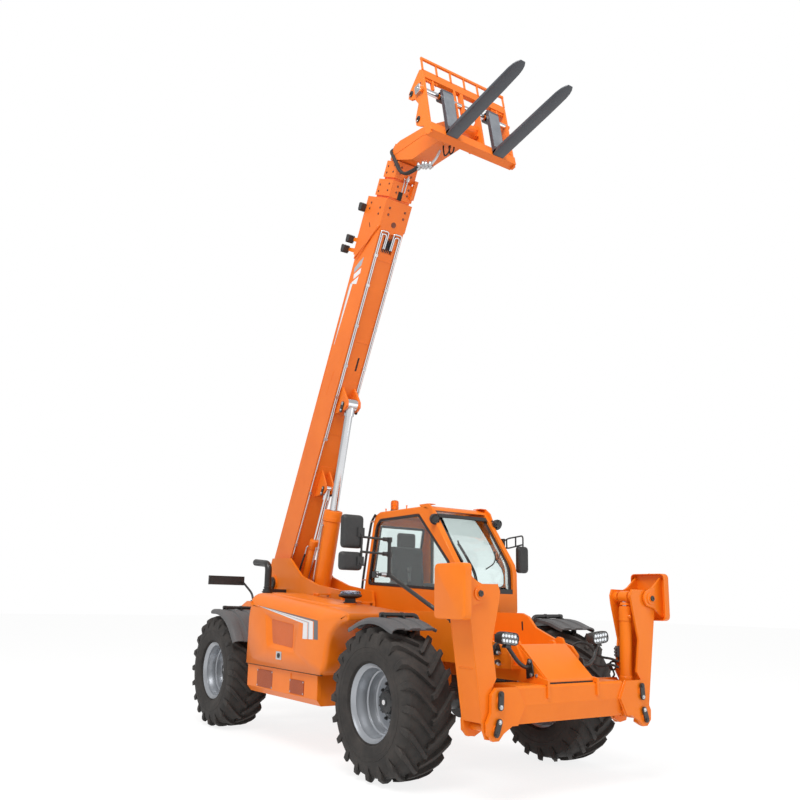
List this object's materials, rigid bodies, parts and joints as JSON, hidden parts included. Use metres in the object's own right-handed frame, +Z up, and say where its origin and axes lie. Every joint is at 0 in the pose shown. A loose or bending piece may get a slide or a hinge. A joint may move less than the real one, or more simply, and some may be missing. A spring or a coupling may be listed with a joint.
{
  "type": "telehandler",
  "caption": "High-reach telehandler with a telescopic boom, pallet forks, a cab on its left, all wheels steered and front stabilisers",
  "frame": {"origin": "on the ground under the middle of the whole machine's length and width, wheels straight, boom raised as parked", "axes": "X forward, Y to the driver's left, Z up"},
  "size_m": [5.798, 2.9, 7.3487],
  "materials": {
    "orange_paint": "gloss orange machine paint",
    "black_paint": "satin black paint on axles, brackets and tubes",
    "rim_grey": "silver grey rim paint",
    "tyre_rubber": "worn tyre rubber",
    "rod_chrome": "polished cylinder rod",
    "fork_steel": "dark slate fork paint",
    "black_plastic": "moulded black plastic",
    "window_glass": "pale green tinted glass",
    "seat_fabric": "dark seat cloth",
    "amber_lamp": "lamp housings and amber beacon",
    "tank_orange": "orange tank",
    "engine_alloy": "cast engine and gearbox"
  },
  "bodies": {
    "root": {"chassis": "orange_paint", "counterweight": "orange_paint", "front_beam": "orange_paint", "front_axle": "black_paint", "rear_axle": "black_paint", "cab_frame": "orange_paint", "cab_glass": "window_glass", "operator_seat": "seat_fabric", "steering_column": "black_plastic", "fuel_tank": "tank_orange", "engine_tray": "orange_paint", "engine_block": "engine_alloy", "exhaust_pipe": "black_paint", "lamps": "amber_lamp", "mirrors": "black_plastic"},
    "hood": {"engine_hood": "orange_paint", "air_precleaner": "black_plastic"},
    "door": {"cab_door": "orange_paint", "door_glass": "window_glass"},
    "boom": {"boom_outer": "orange_paint"},
    "second_section": {"boom_second": "orange_paint"},
    "third_section": {"boom_third": "orange_paint"},
    "inner_section": {"boom_inner": "orange_paint"},
    "fork_carriage": {"carriage": "orange_paint", "forks": "fork_steel"},
    "lift_barrel": {"lift_barrel": "orange_paint"},
    "lift_rod": {"lift_rod": "rod_chrome"},
    "level_barrel": {"level_barrel": "orange_paint"},
    "level_rod": {"level_rod": "rod_chrome"},
    "arm_left": {"stabiliser_arm_left": "orange_paint"},
    "pad_left": {"stabiliser_pad_left": "orange_paint"},
    "stay_barrel_left": {"stay_barrel_left": "orange_paint"},
    "stay_rod_left": {"stay_rod_left": "rod_chrome"},
    "arm_right": {"stabiliser_arm_right": "orange_paint"},
    "pad_right": {"stabiliser_pad_right": "orange_paint"},
    "stay_barrel_right": {"stay_barrel_right": "orange_paint"},
    "stay_rod_right": {"stay_rod_right": "rod_chrome"},
    "front_knuckle_left": {"front_knuckle_left": "black_paint", "front_fender_left": "black_plastic"},
    "front_wheel_left": {"front_rim_left": "rim_grey", "front_tyre_left": "tyre_rubber"},
    "front_knuckle_right": {"front_knuckle_right": "black_paint", "front_fender_right": "black_plastic"},
    "front_wheel_right": {"front_rim_right": "rim_grey", "front_tyre_right": "tyre_rubber"},
    "rear_knuckle_left": {"rear_knuckle_left": "black_paint", "rear_fender_left": "black_plastic"},
    "rear_wheel_left": {"rear_rim_left": "rim_grey", "rear_tyre_left": "tyre_rubber"},
    "rear_knuckle_right": {"rear_knuckle_right": "black_paint", "rear_fender_right": "black_plastic"},
    "rear_wheel_right": {"rear_rim_right": "rim_grey", "rear_tyre_right": "tyre_rubber"}
  },
  "joints": [
    {"name": "boom_lift", "type": "hinge", "parent": "root", "child": "boom", "pos_m": [-2.335, 0, 1.72], "axis": [0, -1, 0], "range_deg": [-63.3, 6.7]},
    {"name": "telescope_second", "type": "slide", "parent": "boom", "child": "second_section", "axis": [0.4493, 0, 0.8934], "range_m": [0, 3.7]},
    {"name": "telescope_third", "type": "slide", "parent": "second_section", "child": "third_section", "axis": [0.4493, 0, 0.8934], "range_m": [0, 3.7]},
    {"name": "telescope_inner", "type": "slide", "parent": "third_section", "child": "inner_section", "axis": [0.4493, 0, 0.8934], "range_m": [0, 3.7]},
    {"name": "carriage_tilt", "type": "hinge", "parent": "inner_section", "child": "fork_carriage", "pos_m": [1.36438, 0, 6.70508], "axis": [0, 1, 0], "range_deg": [-58, 60]},
    {"name": "lift_swing", "type": "hinge", "parent": "root", "child": "lift_barrel", "pos_m": [-1.635, 0, 0.9], "axis": [0, -1, 0], "range_deg": [-59.25, 6.72]},
    {"name": "lift_stroke", "type": "slide", "parent": "lift_barrel", "child": "lift_rod", "axis": [0.2401, 0, 0.9708], "range_m": [-1.2083, 0.1324]},
    {"name": "level_swing", "type": "hinge", "parent": "root", "child": "level_barrel", "pos_m": [-2.135, 0, 1.2], "axis": [0, -1, 0], "range_deg": [-56.06, 6.38]},
    {"name": "level_stroke", "type": "slide", "parent": "level_barrel", "child": "level_rod", "axis": [0.4009, 0, 0.9161], "range_m": [-0.5519, 0.0629]},
    {"name": "stabiliser_left", "type": "hinge", "parent": "root", "child": "arm_left", "pos_m": [2.678, 0.869, 0.574], "axis": [-1, 0, 0], "range_deg": [0, 98]},
    {"name": "pad_hinge_left", "type": "hinge", "parent": "arm_left", "child": "pad_left", "pos_m": [2.678, 1.02627, 1.5899], "axis": [1, 0, 0], "range_deg": [-10, 8]},
    {"name": "stay_swing_left", "type": "hinge", "parent": "root", "child": "stay_barrel_left", "pos_m": [2.678, 0.828, 0.785], "axis": [-1, 0, 0], "range_deg": [-0.5, 109.09]},
    {"name": "stay_stroke_left", "type": "slide", "parent": "stay_barrel_left", "child": "stay_rod_left", "axis": [0, 0.0392, 0.9992], "range_m": [-0.005, 0.2758]},
    {"name": "stabiliser_right", "type": "hinge", "parent": "root", "child": "arm_right", "pos_m": [2.678, -0.869, 0.574], "axis": [1, 0, 0], "range_deg": [0, 98]},
    {"name": "pad_hinge_right", "type": "hinge", "parent": "arm_right", "child": "pad_right", "pos_m": [2.678, -1.02627, 1.5899], "axis": [-1, 0, 0], "range_deg": [-10, 8]},
    {"name": "stay_swing_right", "type": "hinge", "parent": "root", "child": "stay_barrel_right", "pos_m": [2.678, -0.828, 0.785], "axis": [1, 0, 0], "range_deg": [-0.5, 109.09]},
    {"name": "stay_stroke_right", "type": "slide", "parent": "stay_barrel_right", "child": "stay_rod_right", "axis": [0, -0.0392, 0.9992], "range_m": [-0.005, 0.2758]},
    {"name": "front_steer_left", "type": "hinge", "parent": "root", "child": "front_knuckle_left", "pos_m": [1.615, 0.78, 0.6525], "axis": [0, 0, 1], "range_deg": [-35, 35]},
    {"name": "front_spin_left", "type": "hinge", "parent": "front_knuckle_left", "child": "front_wheel_left", "pos_m": [1.615, 1.005, 0.6525], "axis": [0, 1, 0], "continuous": true},
    {"name": "front_steer_right", "type": "hinge", "parent": "root", "child": "front_knuckle_right", "pos_m": [1.615, -0.78, 0.6525], "axis": [0, 0, 1], "range_deg": [-35, 35]},
    {"name": "front_spin_right", "type": "hinge", "parent": "front_knuckle_right", "child": "front_wheel_right", "pos_m": [1.615, -1.005, 0.6525], "axis": [0, 1, 0], "continuous": true},
    {"name": "rear_steer_left", "type": "hinge", "parent": "root", "child": "rear_knuckle_left", "pos_m": [-1.885, 0.78, 0.6525], "axis": [0, 0, 1], "range_deg": [-35, 35]},
    {"name": "rear_spin_left", "type": "hinge", "parent": "rear_knuckle_left", "child": "rear_wheel_left", "pos_m": [-1.885, 1.005, 0.6525], "axis": [0, 1, 0], "continuous": true},
    {"name": "rear_steer_right", "type": "hinge", "parent": "root", "child": "rear_knuckle_right", "pos_m": [-1.885, -0.78, 0.6525], "axis": [0, 0, 1], "range_deg": [-35, 35]},
    {"name": "rear_spin_right", "type": "hinge", "parent": "rear_knuckle_right", "child": "rear_wheel_right", "pos_m": [-1.885, -1.005, 0.6525], "axis": [0, 1, 0], "continuous": true},
    {"name": "hood_hinge", "type": "hinge", "parent": "root", "child": "hood", "pos_m": [-0.9, -0.43, 1.593], "axis": [-0.9963, 0, 0.0865], "range_deg": [0, 50]},
    {"name": "door_hinge", "type": "hinge", "parent": "root", "child": "door", "pos_m": [-0.7, 1.167, 1.5], "axis": [0, 0, 1], "range_deg": [0, 95]}
  ],
  "couplings": [
    {"joint": "telescope_third", "follows": "telescope_second", "ratio": 1},
    {"joint": "telescope_inner", "follows": "telescope_second", "ratio": 1},
    {"joint": "lift_swing", "follows": "boom_lift", "ratio": 0.9281},
    {"joint": "lift_stroke", "follows": "boom_lift", "m_per_rad": 1.0892},
    {"joint": "level_swing", "follows": "boom_lift", "ratio": 0.8778},
    {"joint": "level_stroke", "follows": "boom_lift", "m_per_rad": 0.495},
    {"joint": "stay_swing_left", "follows": "stabiliser_left", "ratio": 1.1081},
    {"joint": "stay_stroke_left", "follows": "stabiliser_left", "m_per_rad": 0.1583},
    {"joint": "stay_swing_right", "follows": "stabiliser_right", "ratio": 1.1081},
    {"joint": "stay_stroke_right", "follows": "stabiliser_right", "m_per_rad": 0.1583},
    {"joint": "front_steer_right", "follows": "front_steer_left", "ratio": 1},
    {"joint": "rear_steer_right", "follows": "rear_steer_left", "ratio": 1}
  ]
}
